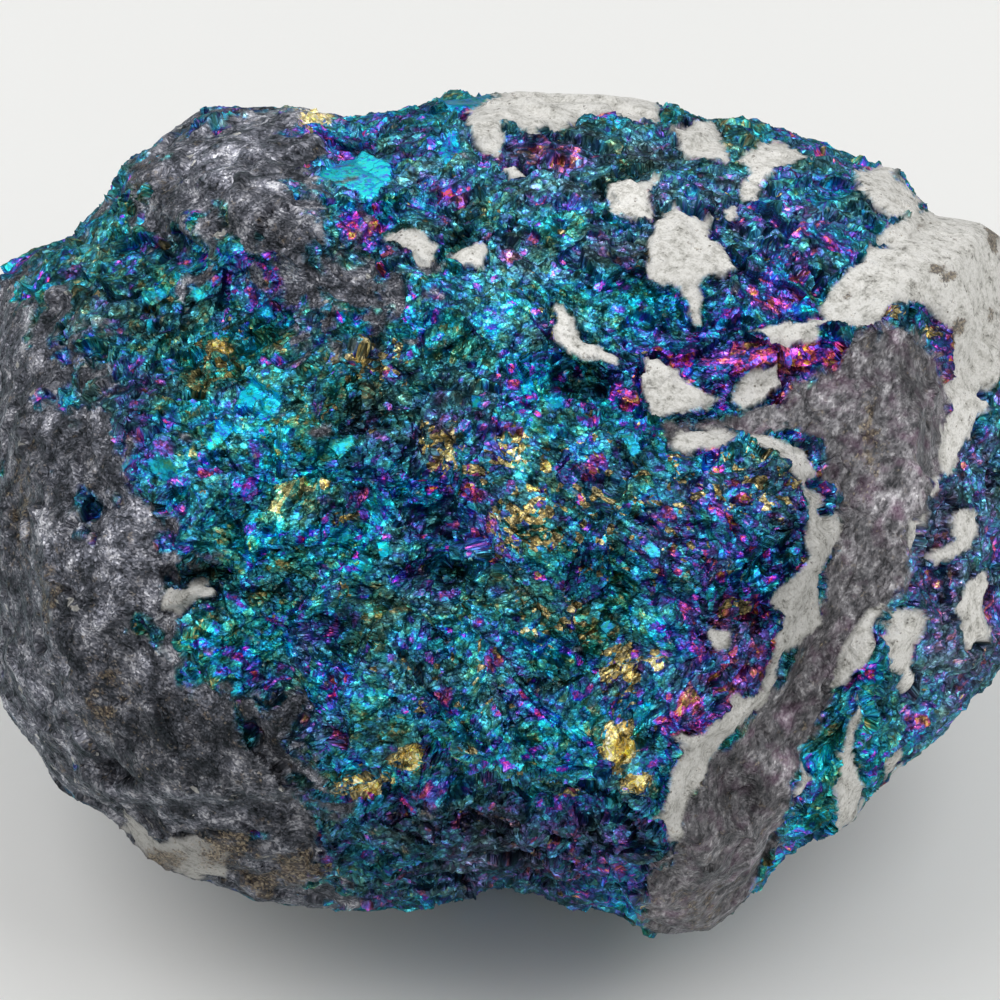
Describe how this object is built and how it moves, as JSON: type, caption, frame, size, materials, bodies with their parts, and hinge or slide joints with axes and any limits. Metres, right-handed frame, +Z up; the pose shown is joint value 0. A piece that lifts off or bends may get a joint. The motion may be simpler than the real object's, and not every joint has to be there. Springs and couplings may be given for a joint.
{
  "type": "peacock ore specimen",
  "caption": "Rough hand specimen of iridescent peacock ore: a broken, faceted sulphide stone with pale matrix patches that rests on a small flat spot.",
  "frame": {"origin": "centre of the stone's footprint box, on the surface it rests on", "axes": "+Z up, +X along the stone's width, -Y towards the side that the picture shows"},
  "size_m": [0.064, 0.0594, 0.045],
  "materials": {
    "tarnished_ore": "broken crystalline sulphide with iridescent blue, teal and violet tarnish, grey and gold stretches and pale calcite patches"
  },
  "bodies": {
    "root": {"peacock_ore": "tarnished_ore"}
  },
  "joints": []
}
